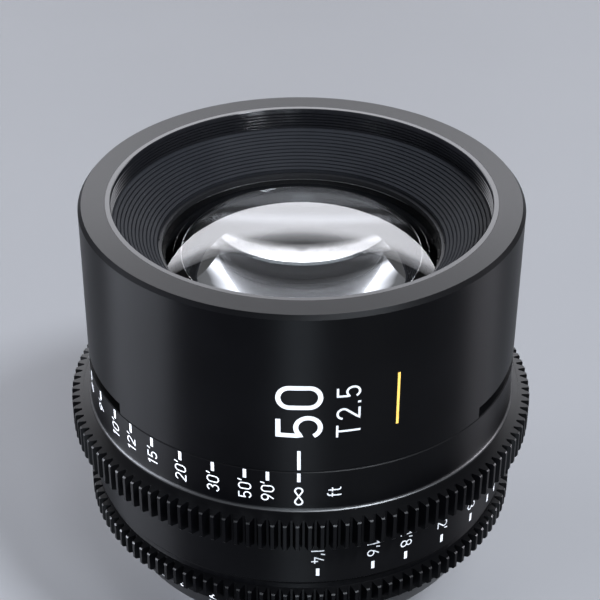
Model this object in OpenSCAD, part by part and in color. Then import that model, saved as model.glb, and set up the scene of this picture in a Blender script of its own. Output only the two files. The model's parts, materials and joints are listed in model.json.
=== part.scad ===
// Cinema prime lens on its mount flange, optical axis along +Z, front element up.
// The origin is the centre of the flange seat, where the lens meets a camera.

/* [Barrel] */
// Outside radius of the front barrel and of both focus scales
barrel_r = 47.5; // [46:0.5:52]
// Length of the front barrel, from the seam over the focus ring to the rim
front_h = 37.2; // [36:0.2:42]
// Length of the focus ring
focus_h = 29.95; // [29:0.05:34]
// Length of the iris ring
iris_h = 17.05; // [16.5:0.05:20]
// Height of the iris ring's lower end above the flange seat
rear_h = 9.2; // [8.8:0.1:12]
// Running gap between rings that turn past each other
ring_gap = 0.3; // [0.2:0.05:0.5]
// Radial width of the bevel on the rim
rim_bevel_r = 0.72; // [0.3:0.02:1.2]
// Height of the bevel on the rim
rim_bevel_h = 0.87; // [0.3:0.01:1.5]
// Height of the side reliefs in the lower edge of the front barrel
relief_h = 2.6; // [1.5:0.1:3.2]
// Half the angle of the tongue between the reliefs, which carries the index line
tongue_half = 52.5; // [40:0.5:70]

/* [Front opening] */
// Distance from the outside of the barrel to the crest of the filter thread
rim_w = 6.9; // [6.4:0.1:8]
// Pitch of the filter thread
thread_pitch = 0.75; // [0.5:0.05:1]
// Depth of the thread grooves
thread_depth = 0.4; // [0.2:0.05:0.5]
// Wall of the filter ring outside the thread grooves
filter_wall = 0.75; // [0.6:0.05:1]
// Length of the filter ring
filter_h = 5; // [4:0.25:6]
// Number of steps on the anti-reflection cone
cone_steps = 12; // [6:1:16]
// Clear radius of the front glass
glass_r = 30.3; // [27:0.1:31]
// Depth of the glass edge below the rim
glass_depth = 13; // [12:0.25:15]

/* [Gear bands] */
// Module of both gear bands
gear_m = 0.8; // [0.6:0.1:1]
// Height of the focus teeth above the scale
focus_rise = 4.5; // [4:0.1:6]
// Width of the focus teeth at their tips
focus_land = 6.4; // [4:0.1:7]
// Height of the middle of the focus teeth above the ring's lower end
focus_gear_z = 16.2; // [15:0.1:18]
// How far the iris scale lies inside the barrel's outside
iris_step = 2; // [1:0.1:3]
// Height of the iris teeth above the iris scale
iris_rise = 3.3; // [3:0.1:5]
// Width of the iris teeth at their tips
iris_land = 4.4; // [3:0.1:5]
// Depth of the middle of the iris teeth below the ring's upper end
iris_gear_z = 4.25; // [4.2:0.05:5]

/* [Focus drive] */
// Turn of the focus ring between its stops
focus_turn = 180; // [120:5:200]
// Travel of the focus cell
focus_travel = 7.5; // [6.5:0.25:8]
// Wall of the focus ring
ring_wall = 2.9; // [2.5:0.1:3.4]
// Wall of the cam ring inside the focus ring
cam_wall = 4.45; // [4.2:0.05:5]
// Wall of the main tube
tube_wall = 3.4; // [3:0.1:4]
// Radius of the cam followers
follower_r = 1.25; // [0.8:0.05:1.4]

/* [Iris] */
// Turn of the iris ring between its stops
iris_turn = 60; // [50:1:62]
// Radius of the iris opening at full aperture
iris_open_r = 11.3; // [10:0.1:12]
// Width of a blade
blade_w = 5.7; // [5:0.1:6]
// Thickness of a blade
blade_t = 0.15; // [0.1:0.01:0.2]
// Swing of a blade between full and smallest aperture
blade_swing = 31; // [26:0.5:32]

/* [Mount] */
// Radius of the pilot that enters the camera
pilot_r = 27; // [26.5:0.1:28]
// Length of the pilot behind the flange seat
pilot_h = 12; // [10:0.5:14]
// Outside radius over the four lugs
lug_r = 34; // [33:0.1:36]
// Thickness of the flange and its lugs
lug_h = 4; // [3:0.1:4.5]
// Angle that one lug spans
lug_angle = 58; // [40:1:70]
// Thickness of the adjusting shim
shim_t = 0.2; // [0.05:0.05:0.5]

/* [Hidden] */
$fn = 96;

// Clearances: fixed fits, sliding fits, running bearings and pins in grooves
fit = 0.05;
slide = 0.1;
run = 0.08;
pin_play = 0.06;
// Gap between a glass face and the edge that it seats on
glass_seat = 0.03;
// Gap of pressed and cemented pieces
press = 0.02;
// How far a cutter reaches past what it cuts
cut = 1;
// Bevels on outside edges, and how deep a gear band is rooted in its ring
edge_bevel = 0.4;
fine_bevel = 0.2;
root_overlap = 0.3;
// Tooth depth below the pitch circle in modules, and the slope of the flanks
dedendum = 1.25;
flank = 20;

// Heights of the ring ends, from the flange seat up
z_iris0 = rear_h;
z_iris1 = z_iris0 + iris_h;
z_focus0 = z_iris1 + ring_gap + fit;
z_focus1 = z_focus0 + focus_h;
z_seam = z_focus1 + ring_gap - fit;
z_rim = z_seam + front_h;

// Screws
screw_r = 1;
head_r = 1.8;
head_h = 1.3;
socket_r = 0.85;
socket_depth = 0.7;
head_sink = 0.1;

// Radial stack from the outside in: scales, focus ring, cam ring, main tube, filter thread
iris_scale_r = barrel_r - iris_step;
focus_inner = barrel_r - ring_wall;
cam_out = focus_inner - fit;
cam_in = cam_out - cam_wall;
tube_r = cam_in - ring_gap;
thread_r = barrel_r - rim_w;

// Front barrel and the flange of the main tube behind it
tube_in = tube_r - tube_wall;
flange_t = 3;
z_flange = z_seam + relief_h - 0.2;
z_shoulder = z_flange + flange_t;
shoulder_t = 3;
z_cell = z_shoulder + shoulder_t;
skirt_wall = 2.6;
flange_r = barrel_r - skirt_wall - fit;
shell_wall = 4.1;
shell_in = barrel_r - shell_wall;
barrel_screw_r = flange_r - 2.4;
barrel_screw_count = 6;
barrel_screw_start = 30;
barrel_screw_length = shoulder_t + flange_t - 0.4;

// Filter ring and ribbed cone
filter_out = thread_r + thread_depth + filter_wall;
mouth_bevel = 0.15;
ledge_w = 0.9;
ledge_drop = 2;
cone_rim_t = 1.2;
cone_top = z_rim - filter_h;
cone_seat = cone_top - cone_rim_t;
cone_r0 = thread_r - 0.4;

// Front glass and its cell
glass_lip = 0.9;
front_semi = glass_r + glass_lip;
front_rf = 85;
front_rr = 76;
front_t = 14;
// Radius of the rear dome, with a flat seat round it
front_clear = 25;
dome_lap = 1;
z_glass = z_rim - glass_depth;
front_zf = z_glass + sag(front_rf, glass_r);
front_zr = front_zf - front_t;
front_bottom = front_zr + sag(front_rr, front_clear);
ring_t = 1.2;
spanner_hole_r = 0.45;
thread_step = 1;
thread_relief = 0.2;
cell_wall = 1.75;
cell_thread_r = front_semi + thread_step;
cell_r = cell_thread_r + cell_wall;
ring_z0 = z_glass + press;
cell_top = z_glass + 1;
cone_gap = 0.15;
cone_low = ring_z0 + ring_t + cone_gap;
cone_edge = 0.6;
cone_r1 = glass_r + 0.7;
cone_run = cone_r0 - cone_r1;
cone_fall = cone_top - cone_low - cone_edge;
// Share of each rib that is smooth, and the depth of the groove beside it
rib_flat = 0.68;
rib_groove = 0.3;
cell_flange_t = 2.5;
cell_flange_r = shell_in - 0.2;
cell_pilot_r = tube_in + 0.1;
cell_screw_r = max(cell_pilot_r, cell_r) + 2.2;
cell_screw_count = 3;
cell_screw_length = cell_flange_t + shoulder_t - 0.4;

// Second and third elements
second_semi = 26.8;
second_rf = 90;
second_rr = 120;
second_edge = 3;
second_gap = 1.8;
spacer_w = 1.6;
second_top = front_bottom - second_gap;
second_zf = second_top - sag(second_rf, second_semi - spacer_w);
second_low = second_top - second_edge;
second_zr = second_low - sag(second_rr, second_semi);
ledge_r = 1.8;
ledge_t = 1.2;
second_seat = second_zr + sag(second_rr, second_semi - ledge_r) - glass_seat;
third_semi = 21;
third_rf = 90;
third_rr = 60;
third_t = 1.5;
third_ring_t = 1.4;
cell_low = z_flange - 0.6;
third_low = cell_low + third_ring_t + fit;
third_zr = third_low + sag(third_rr, third_semi - ledge_r);
third_zf = third_zr + third_t;
third_seat = third_zf - sag(third_rf, third_semi - ledge_r) + glass_seat;

// Focus ring, its gear band and the cam ring inside it
focus_tip = barrel_r + focus_rise;
focus_teeth = round(2 * focus_tip / gear_m) - 2;
ring_flange_t = 2.5;
ring_flange_in = tube_r + 0.5;
gear_mid = z_focus0 + focus_gear_z;
// Depth of a gear band's core inside the roots, slope of its ends and bevel of its teeth
gear_core = 0.7;
end_slope = 0.15;
tip_bevel = 0.25;
// Fillet where the upper scale stands on the gear band
foot_r = 0.9;
foot_sunk = 0.05;
cam_top = z_focus1 - ring_flange_t;
lock_t = 2.2;
lock_r = cam_out - 1;
lock_notch_count = 4;
lock_notch_d = 1;
lock_notch_w = 2;
lock_z0 = z_focus0 + 0.2;
cam_low = lock_z0 + lock_t + ring_gap;
bearing_h = 2.5;
bearing_r = tube_r + 1.7;
bearing_seat_r = bearing_r + run;
ring_screw_count = 6;
ring_screw_start = 15;
ring_screw_length = ring_flange_t + 4;
ring_screw_r = (bearing_seat_r + cam_out) / 2;

// Cam follower path, straight slots in the tube and the focus cell
follower_count = 3;
follower_z0 = z_focus0 + 10.4;
follower_tip = cam_in + 2.7;
groove_floor = follower_tip + 0.3;
groove_half = follower_r + pin_play;
groove_steps = 40;
focus_cell_r = tube_in - slide;
focus_cell_low = follower_z0 - 5;
focus_cell_h = 15;
focus_cell_land = 4;
focus_cell_relief = 1.2;
focus_cell_wall = 3.4;
follower_root = focus_cell_r - focus_cell_wall + 0.5;
web_t = 3;
focus_semi = 17.5;
focus_hub_wall = 2.6;
focus_rf = 45;
cement_r = 60;
focus_rr = 70;
focus_t = 7.5;
flint_t = 2;
focus_ledge = 1;
focus_ledge_t = 2.7;
flint_low = focus_cell_low + focus_ledge_t + fit;
flint_zr = flint_low + sag(focus_rr, focus_semi);
flint_zf = flint_zr + flint_t;
crown_zr = flint_zf + press;
crown_zf = crown_zr + focus_t;
crown_top = crown_zf - sag(focus_rf, focus_semi - focus_ledge);
focus_ring_t = 1.8;

// Stop pins
stop_r = 0.8;
stop_reach = 2.6;
focus_stop_z = follower_z0 - 3.7;
focus_stop_a = 20;
iris_stop_z = z_iris0 + 6.2;
iris_stop_a = 20;

// Iris ring
iris_tip = iris_scale_r + iris_rise;
iris_teeth = round(2 * iris_tip / gear_m) - 2;
iris_bearing_h = 3;
iris_bearing_r = tube_r + 0.8;
iris_in = iris_bearing_r + run;
// Lower end of the iris ring: its wall, and the straight band between the teeth and the taper
iris_low_wall = 0.9;
iris_low_r = iris_in + iris_low_wall;
iris_skirt = 3.3;
iris_gear_mid = z_iris1 - iris_gear_z;
iris_bearing_z = z_iris0 + 0.8;

// Rear barrel with the spigot that carries the main tube, and the mount
z_tube0 = z_iris0 - 0.2;
spigot_h = 4.4;
z_spigot = z_tube0 + spigot_h;
spigot_in = 30;
neck_r = pilot_r + 3.9;
neck_h = 0.8;
z_neck = lug_h + neck_h;
z_rear = z_neck + shim_t;
collar_h = 1.4;
z_collar = z_rear + collar_h;
rear_floor_t = 3.3;
rear_in = pilot_r - 2.2;
rear_rim_r = tube_r + 0.7;
rear_screw_z = z_tube0 + 2.2;
rear_screw_count = 4;
rear_screw_start = 45;
rear_screw_length = tube_wall + 4;
mount_in = pilot_r - 2.4;
pilot_bevel = 0.6;
mount_plate_r = pilot_r + 5;
mount_screw_r = pilot_r + 2.1;
mount_screw_count = 6;
mount_screw_start = 30;
mount_screw_sink = 0.2;
mount_screw_length = z_rear + rear_floor_t - 0.5;
lug_count = 4;
lug_start = 45;
pin_slot_w = 3;
pin_slot_d = 1.6;

// Iris housing, blades and drive ring
rear_flange_t = 1.8;
housing_z = z_spigot + rear_flange_t;
housing_floor_t = 2;
blade_count = 9;
blade_step = 2 * blade_t;
blade_z0 = housing_z + housing_floor_t + 0.3;
blade_top = blade_z0 + blade_count * blade_step;
blade_out = iris_open_r + blade_w;
pivot_pin_r = 0.6;
drive_pin_r = 0.5;
blade_boss_r = 1.4;
tail_r = 0.8;
stem_overlap = 2;
pin_end = 0.2;
pivot_r = blade_out + 1.6;
drive_arm = 6;
drive_a0 = -90 - blade_swing / 2;
blade_arc = 118;
chamber_r = pivot_r + 6;
housing_h = blade_top - housing_z + 0.1;
drive_z = housing_z + housing_h + 0.2;
drive_web_t = 1.2;
drive_rim_w = 6;
drive_hole_r = iris_open_r + 1.9;
drive_r = tube_in - slide - 0.1;
slot_half = drive_pin_r + run;
slot_steps = 24;
key_r = 1.5;
key_z = z_iris1 - 2.25;
drive_top = key_z + key_r + 1;
key_a = 90;
key_root = drive_r - drive_rim_w + 1.5;
key_tip = iris_in + 2.5;
retainer_gap = 0.2;
retainer_t = 1.8;
retainer_w = 6.5;
retainer_z = drive_top + retainer_gap;

// Rear cell and its elements
rear_cell_r = mount_in - 0.6;
rear_low = -9;
inner_semi = 15;
inner_rf = 40;
inner_rr = 60;
inner_t = 2.5;
inner_low = z_tube0 - 2.9;
inner_zr = inner_low + sag(inner_rr, inner_semi);
inner_zf = inner_zr + inner_t;
inner_top = inner_zf + sag(inner_rf, inner_semi);
inner_ring_t = 1.2;
back_semi = 19;
middle_rf = 70;
middle_rr = 50;
middle_edge = 2.1;
middle_top = 0.9;
middle_low = middle_top - middle_edge;
middle_zf = middle_top + sag(middle_rf, back_semi);
middle_zr = middle_low - sag(middle_rr, back_semi);
rear_gap = 2.7;
back_rf = 80;
back_rr = 100;
back_edge = 2.4;
back_top = middle_low - rear_gap;
back_low = back_top - back_edge;
back_zf = back_top - sag(back_rf, back_semi);
back_zr = back_low - sag(back_rr, back_semi);
rear_lip = 1.2;
middle_seat = middle_zf - sag(middle_rf, back_semi - rear_lip) + glass_seat;

// Colours
black = [0.09, 0.09, 0.10];
dark = [0.16, 0.16, 0.18];
steel = [0.72, 0.72, 0.74];
brass = [0.78, 0.62, 0.32];
glass = [0.70, 0.80, 0.84, 0.5];

// Depth of a spherical surface of radius r at distance s from the axis
function sag(r, s) = r - sqrt(r * r - s * s);

// Half the angle that a pin of radius r fills at distance d from the axis
function pin_half_angle(r, d) = asin(r / d) + 0.15;

// Solid of revolution from an outline of [radius, height] points
module lathe(outline) {
    rotate_extrude()
        polygon(outline);
}

// Plain ring
module ring(r_in, r_out, z0, z1) {
    lathe([[r_in, z0], [r_out, z0], [r_out, z1], [r_in, z1]]);
}

// Part of a ring between two angles
module ring_sector(r_in, r_out, z0, z1, a0, a1) {
    rotate([0, 0, a0])
        rotate_extrude(angle = a1 - a0)
            polygon([[r_in, z0], [r_out, z0], [r_out, z1], [r_in, z1]]);
}

// Places its children evenly round the axis
module around(count, start = 0) {
    for (i = [0 : count - 1])
        rotate([0, 0, start + i * 360 / count])
            children();
}

// Radial pin along +X between two radii
module radial_pin(r, x0, x1, z) {
    translate([x0, 0, z])
        rotate([0, 90, 0])
            cylinder(r = r, h = x1 - x0);
}

// Glass between two spherical surfaces; a negative radius is a hollow surface
module glass_body(semi, top, bottom, zf, zr, rf, rr) {
    big = 2 * semi;
    difference() {
        intersection() {
            translate([0, 0, bottom])
                cylinder(r = semi, h = top - bottom);
            if (rf > 0)
                translate([0, 0, zf - rf])
                    sphere(r = rf);
            else
                translate([0, 0, bottom - cut])
                    cylinder(r = big, h = top - bottom + 2 * cut);
            if (rr > 0)
                translate([0, 0, zr + rr])
                    sphere(r = rr);
            else
                translate([0, 0, bottom - cut])
                    cylinder(r = big, h = top - bottom + 2 * cut);
        }
        if (rf < 0)
            translate([0, 0, zf - rf])
                sphere(r = -rf);
        if (rr < 0)
            translate([0, 0, zr + rr])
                sphere(r = -rr);
    }
}

// Screw with its head up at the origin and a hexagon socket
module screw(length) {
    difference() {
        union() {
            translate([0, 0, -head_h])
                cylinder(r = head_r, h = head_h);
            translate([0, 0, -length])
                cylinder(r = screw_r, h = length - head_h + head_sink);
        }
        translate([0, 0, -socket_depth])
            cylinder(r = socket_r, h = socket_depth + cut, $fn = 6);
    }
}

// Room that a screw of that length takes, open above its head
module screw_hole(length) {
    translate([0, 0, -head_h - fit])
        cylinder(r = head_r + fit, h = head_h + fit + cut);
    translate([0, 0, -length - fit])
        cylinder(r = screw_r + fit, h = length + fit);
}

// Outline of a gear with straight flanks
function gear_outline(teeth) =
    let (pitch_r = gear_m * teeth / 2)
    let (tip_r = pitch_r + gear_m)
    let (root_r = pitch_r - dedendum * gear_m)
    let (tip_half = gear_m * (PI / 4 - tan(flank)) / tip_r * 180 / PI)
    let (root_half = gear_m * (PI / 4 + dedendum * tan(flank)) / root_r * 180 / PI)
    let (tooth = [[root_r, -root_half], [tip_r, -tip_half], [tip_r, tip_half], [root_r, root_half]])
    [for (i = [0 : teeth - 1], k = tooth)
        let (a = i * 360 / teeth + k[1]) [k[0] * cos(a), k[0] * sin(a)]];

// Radius of the tooth roots
function gear_root(teeth) = gear_m * (teeth / 2 - dedendum);

// How far the end of a gear band lies beyond the end of its tips, at a radius
function gear_end(tip_r, r) = (tip_r - r) * end_slope;

// Band of bevelled teeth, on a core that starts inside the roots
module gear_band(teeth, mid, land) {
    tip_r = gear_m * (teeth / 2 + 1);
    core_r = gear_root(teeth) - gear_core;
    low = mid - land / 2;
    high = mid + land / 2;
    reach = gear_end(tip_r, core_r);
    edge = gear_end(tip_r, tip_r - tip_bevel);
    intersection() {
        translate([0, 0, low - reach])
            linear_extrude(land + 2 * reach)
                polygon(gear_outline(teeth));
        lathe([
            [core_r, low - reach], [tip_r - tip_bevel, low - edge], [tip_r, low + tip_bevel],
            [tip_r, high - tip_bevel], [tip_r - tip_bevel, high + edge], [core_r, high + reach]
        ]);
    }
}

module front_barrel() {
    color(black)
    difference() {
        lathe([
            [flange_r + fit, z_seam], [barrel_r, z_seam], [barrel_r, z_rim - rim_bevel_h],
            [barrel_r - rim_bevel_r, z_rim], [filter_out + fit, z_rim], [filter_out + fit, cone_seat],
            [filter_out - ledge_w, cone_seat], [filter_out - ledge_w, cone_seat - ledge_drop],
            [shell_in, cone_seat - 2 * ledge_drop], [shell_in, z_cell], [cell_pilot_r + fit, z_cell],
            [cell_pilot_r + fit, z_shoulder], [flange_r + fit, z_shoulder]
        ]);
        for (side = [0, 180])
            ring_sector(flange_r - cut, barrel_r + cut, z_seam - cut, z_seam + relief_h,
                        side - 90 + tongue_half, side + 90 - tongue_half);
        around(barrel_screw_count, barrel_screw_start)
            translate([barrel_screw_r, 0, z_cell])
                screw_hole(barrel_screw_length);
        around(cell_screw_count)
            translate([cell_screw_r, 0, z_cell + cell_flange_t])
                screw_hole(cell_screw_length);
    }
}

module filter_ring() {
    groove_count = floor((filter_h - mouth_bevel) / thread_pitch) - 1;
    groove_start = 0.9 * thread_pitch;
    wide = 0.3 * thread_pitch;
    narrow = 0.06 * thread_pitch;
    mouth = thread_r - 0.5 * thread_depth;
    color(black)
    difference() {
        lathe([
            [thread_r, cone_top], [filter_out, cone_top], [filter_out, z_rim],
            [thread_r + mouth_bevel, z_rim], [thread_r, z_rim - mouth_bevel]
        ]);
        for (i = [0 : groove_count - 1]) {
            z = cone_top + groove_start + i * thread_pitch;
            lathe([
                [mouth, z - wide], [thread_r, z - wide], [thread_r + thread_depth, z - narrow],
                [thread_r + thread_depth, z + narrow], [thread_r, z + wide], [mouth, z + wide]
            ]);
        }
    }
}

module baffle_cone() {
    step_r = cone_run / cone_steps;
    step_z = cone_fall / cone_steps;
    sink = rib_groove / norm([step_r, step_z]);
    places = [[0, 0], [rib_flat, 0], [(1 + rib_flat) / 2, sink]];
    ribs = [for (i = [0 : cone_steps - 1], k = places)
        [cone_r0 - (i + k[0]) * step_r + k[1] * step_z, cone_top - (i + k[0]) * step_z - k[1] * step_r]];
    color(dark)
    lathe(concat(
        [[filter_out, cone_top]], ribs,
        [[cone_r1, cone_top - cone_fall], [cone_r1, cone_low], [cell_r + 0.4, cone_low],
         [filter_out - ledge_w - fit, cone_seat - edge_bevel], [filter_out - ledge_w - fit, cone_seat],
         [filter_out, cone_seat]]));
}

module front_retaining_ring() {
    color(black)
    difference() {
        ring(glass_r, cell_thread_r - fit, ring_z0, ring_z0 + ring_t);
        around(2)
            translate([(glass_r + cell_thread_r) / 2, 0, ring_z0 + ring_t / 2])
                cylinder(r = spanner_hole_r, h = ring_t);
    }
}

module front_cell() {
    second_in = second_semi + fit;
    second_stop = second_semi - ledge_r;
    third_in = third_semi + fit;
    third_stop = third_semi - ledge_r;
    color(dark)
    difference() {
        lathe([
            [front_semi + fit, front_bottom], [front_semi + fit, ring_z0 - 0.3],
            [cell_thread_r, ring_z0 - 0.3], [cell_thread_r, cell_top], [cell_r, cell_top],
            [cell_r, z_cell + cell_flange_t], [cell_flange_r, z_cell + cell_flange_t],
            [cell_flange_r, z_cell], [cell_pilot_r, z_cell], [cell_pilot_r, z_flange],
            [third_in + 3, cell_low], [third_in + thread_step, cell_low],
            [third_in + thread_step, third_low], [third_in, third_low], [third_in, third_seat],
            [third_stop, third_seat], [third_stop, third_seat + ledge_t],
            [second_stop, second_seat - ledge_t], [second_stop, second_seat],
            [second_in, second_seat], [second_in, front_bottom]
        ]);
        around(cell_screw_count)
            translate([cell_screw_r, 0, z_cell + cell_flange_t])
                screw_hole(cell_screw_length);
    }
}

module front_element() {
    color(glass)
    union() {
        intersection() {
            translate([0, 0, front_bottom])
                cylinder(r = front_semi, h = front_zf - front_bottom + cut);
            translate([0, 0, front_zf - front_rf])
                sphere(r = front_rf);
        }
        intersection() {
            translate([0, 0, front_zr - cut])
                cylinder(r = front_semi - dome_lap, h = front_bottom - front_zr + dome_lap + cut);
            translate([0, 0, front_zr + front_rr])
                sphere(r = front_rr);
        }
    }
}

module second_element() {
    color(glass)
    glass_body(second_semi, second_top, second_zr - cut, second_zf, second_zr, -second_rf, second_rr);
}

module third_element() {
    color(glass)
    glass_body(third_semi, third_zf + cut, third_low, third_zf, third_zr, third_rf, -third_rr);
}

module front_spacer() {
    color(black)
    ring(second_semi - spacer_w, second_semi, second_top, front_bottom);
}

module third_retaining_ring() {
    color(black)
    ring(third_semi - ledge_r, third_semi + thread_step, cell_low, third_low);
}

module front_cell_screws() {
    color(steel)
    around(cell_screw_count)
        translate([cell_screw_r, 0, z_cell + cell_flange_t])
            screw(cell_screw_length);
}

module front_barrel_screws() {
    color(steel)
    around(barrel_screw_count, barrel_screw_start)
        translate([barrel_screw_r, 0, z_cell])
            screw(barrel_screw_length);
}

module main_tube() {
    slot_low = follower_z0 - follower_r - slide;
    slot_high = follower_z0 + focus_travel + follower_r + slide;
    key_half = pin_half_angle(key_r, tube_in) + 1;
    color(dark)
    difference() {
        lathe([
            [tube_in, z_tube0], [tube_r, z_tube0], [tube_r, z_flange], [flange_r, z_flange],
            [flange_r, z_shoulder], [cell_pilot_r + fit, z_shoulder], [cell_pilot_r + fit, z_flange],
            [tube_in, z_flange - 1]
        ]);
        around(barrel_screw_count, barrel_screw_start)
            translate([barrel_screw_r, 0, z_cell])
                screw_hole(barrel_screw_length);
        around(follower_count) {
            radial_pin(follower_r + slide, tube_in - cut, tube_r + cut, follower_z0);
            radial_pin(follower_r + slide, tube_in - cut, tube_r + cut, follower_z0 + focus_travel);
            translate([tube_in - cut, -follower_r - slide, follower_z0])
                cube([tube_wall + 2 * cut, 2 * (follower_r + slide), focus_travel]);
        }
        ring_sector(tube_in - cut, tube_r + cut, key_z - key_r - slide, key_z + key_r + slide,
                    key_a - key_half, key_a + iris_turn + key_half);
        around(rear_screw_count, rear_screw_start)
            translate([tube_r - head_sink, 0, rear_screw_z])
                rotate([0, 90, 0])
                    screw_hole(rear_screw_length);
        rotate([0, 0, focus_stop_a])
            radial_pin(stop_r + fit, tube_in - cut, tube_r + cut, focus_stop_z);
        rotate([0, 0, iris_stop_a])
            radial_pin(stop_r + fit, tube_in - cut, tube_r + cut, iris_stop_z);
    }
}

module bearing_ring(z0, z1, r_out) {
    color(brass)
    ring(tube_r + press, r_out, z0, z1);
}

module focus_bearing_front() {
    bearing_ring(cam_top - bearing_h - 0.15, cam_top - 0.15, bearing_r);
}

module focus_bearing_rear() {
    bearing_ring(cam_low - 0.2, cam_low + bearing_h - 0.2, bearing_r);
}

module lock_ring() {
    color(dark)
    difference() {
        ring(tube_r + press, lock_r, lock_z0, lock_z0 + lock_t);
        around(lock_notch_count)
            translate([lock_r - lock_notch_d, -lock_notch_w / 2, lock_z0 - cut])
                cube([lock_notch_d + cut, lock_notch_w, lock_t + 2 * cut]);
    }
}

module stop_pin(angle, z) {
    color(steel)
    rotate([0, 0, angle])
        radial_pin(stop_r, tube_in + pin_end, tube_r + stop_reach, z);
}

module focus_stop_pin() {
    stop_pin(focus_stop_a, focus_stop_z);
}

module iris_stop_pin() {
    stop_pin(iris_stop_a, iris_stop_z);
}

module iris_bearing() {
    bearing_ring(iris_bearing_z, iris_bearing_z + iris_bearing_h, iris_bearing_r);
}

module iris_housing() {
    color(dark)
    difference() {
        ring(iris_open_r + 0.5, tube_in - fit, housing_z, housing_z + housing_h);
        translate([0, 0, housing_z + housing_floor_t])
            cylinder(r = chamber_r, h = housing_h);
        around(blade_count)
            translate([pivot_r, 0, housing_z - cut])
                cylinder(r = pivot_pin_r + fit, h = housing_floor_t + 2 * cut);
    }
}

module iris_retaining_ring() {
    color(black)
    ring(tube_in - fit - retainer_w, tube_in - fit, retainer_z, retainer_z + retainer_t);
}

module rear_barrel() {
    color(black)
    difference() {
        lathe([
            [rear_in, z_rear], [neck_r + edge_bevel, z_rear], [neck_r + edge_bevel, z_collar],
            [rear_rim_r, z_tube0 - 2 * edge_bevel], [rear_rim_r, z_tube0], [tube_in - fit, z_tube0],
            [tube_in - fit, z_spigot],
            [spigot_in, z_spigot], [spigot_in, z_rear + rear_floor_t], [rear_in, z_rear + rear_floor_t]
        ]);
        around(rear_screw_count, rear_screw_start)
            translate([tube_r - head_sink, 0, rear_screw_z])
                rotate([0, 90, 0])
                    screw_hole(rear_screw_length);
        mount_screw_places()
            screw_hole(mount_screw_length);
    }
}

module rear_barrel_screws() {
    color(steel)
    around(rear_screw_count, rear_screw_start)
        translate([tube_r - head_sink, 0, rear_screw_z])
            rotate([0, 90, 0])
                screw(rear_screw_length);
}

module rear_cell() {
    inner_in = inner_semi + fit;
    back_in = back_semi + fit;
    back_stop = back_semi - rear_lip;
    color(dark)
    lathe([
        [inner_in, inner_low], [inner_in, inner_top + fit], [inner_in + thread_step, inner_top + fit],
        [inner_in + thread_step, housing_z], [tube_in - fit, housing_z], [tube_in - fit, z_spigot],
        [rear_cell_r, z_spigot], [rear_cell_r, rear_low], [back_in + thread_step, rear_low],
        [back_in + thread_step, back_low], [back_in, back_low], [back_in, middle_seat],
        [back_stop, middle_seat], [inner_semi - rear_lip, inner_low - 1],
        [inner_semi - rear_lip, inner_low]
    ]);
}

module rear_element_front() {
    color(glass)
    glass_body(inner_semi, inner_top, inner_low, inner_zf, inner_zr, -inner_rf, -inner_rr);
}

module rear_element_middle() {
    color(glass)
    glass_body(back_semi, middle_zf + cut, middle_zr - cut, middle_zf, middle_zr, middle_rf, middle_rr);
}

module rear_element_back() {
    color(glass)
    glass_body(back_semi, back_top, back_zr - cut, back_zf, back_zr, -back_rf, back_rr);
}

module rear_spacer() {
    seat = middle_zr + sag(middle_rr, back_semi - rear_lip) - glass_seat;
    color(black)
    ring(back_semi - rear_lip, back_semi, back_top + press, seat);
}

module rear_front_retainer() {
    seat = inner_top + fit;
    color(black)
    ring(inner_semi - rear_lip, inner_semi + thread_step, seat, seat + inner_ring_t);
}

module rear_retaining_ring() {
    seat = back_zr + sag(back_rr, back_semi - rear_lip) - glass_seat;
    color(black)
    ring(back_semi - rear_lip, back_semi + thread_step, rear_low + 0.3, seat);
}

// Puts its children at the mount screws, heads down towards the camera
module mount_screw_places() {
    around(mount_screw_count, mount_screw_start)
        translate([mount_screw_r, 0, mount_screw_sink])
            mirror([0, 0, 1])
                children();
}

module mount_flange() {
    color(steel)
    difference() {
        union() {
            lathe([
                [mount_in, -pilot_h], [pilot_r - pilot_bevel, -pilot_h],
                [pilot_r, -pilot_h + pilot_bevel], [pilot_r, 0], [mount_plate_r, 0],
                [mount_plate_r, lug_h], [neck_r, lug_h], [neck_r, z_neck], [mount_in, z_neck]
            ]);
            around(lug_count, lug_start - lug_angle / 2)
                ring_sector(neck_r - cut, lug_r, 0, lug_h, 0, lug_angle);
        }
        around(lug_count, lug_start)
            translate([lug_r - pin_slot_d, -pin_slot_w / 2, -cut])
                cube([pin_slot_d + cut, pin_slot_w, lug_h + 2 * cut]);
        mount_screw_places()
            screw_hole(mount_screw_length);
    }
}

module mount_shim() {
    color(brass)
    difference() {
        ring(rear_in, neck_r, z_neck, z_rear);
        mount_screw_places()
            screw_hole(mount_screw_length);
    }
}

module mount_screws() {
    color(steel)
    mount_screw_places()
        screw(mount_screw_length);
}

module focus_ring() {
    core_r = gear_root(focus_teeth) - gear_core + root_overlap;
    high = gear_mid + focus_land / 2;
    shelf = high + gear_end(focus_tip, core_r) - foot_sunk;
    foot_z = high + gear_end(focus_tip, barrel_r + foot_r) - foot_sunk;
    foot = [for (a = [90 : -15 : 0])
        [barrel_r + foot_r * (1 - cos(a)), foot_z + foot_r * (1 - sin(a))]];
    under = gear_mid - focus_land / 2;
    color(black)
    union() {
        difference() {
            lathe(concat(
                [[focus_inner, z_focus0], [barrel_r - edge_bevel, z_focus0],
                 [barrel_r, z_focus0 + edge_bevel], [barrel_r, under], [core_r, under], [core_r, shelf]],
                foot,
                [[barrel_r, z_focus1 - fine_bevel], [barrel_r - fine_bevel, z_focus1],
                 [ring_flange_in, z_focus1], [ring_flange_in, cam_top], [focus_inner, cam_top]]));
            around(ring_screw_count, ring_screw_start)
                translate([ring_screw_r, 0, z_focus1 - head_sink])
                    screw_hole(ring_screw_length);
        }
        gear_band(focus_teeth, gear_mid, focus_land);
    }
}

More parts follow.
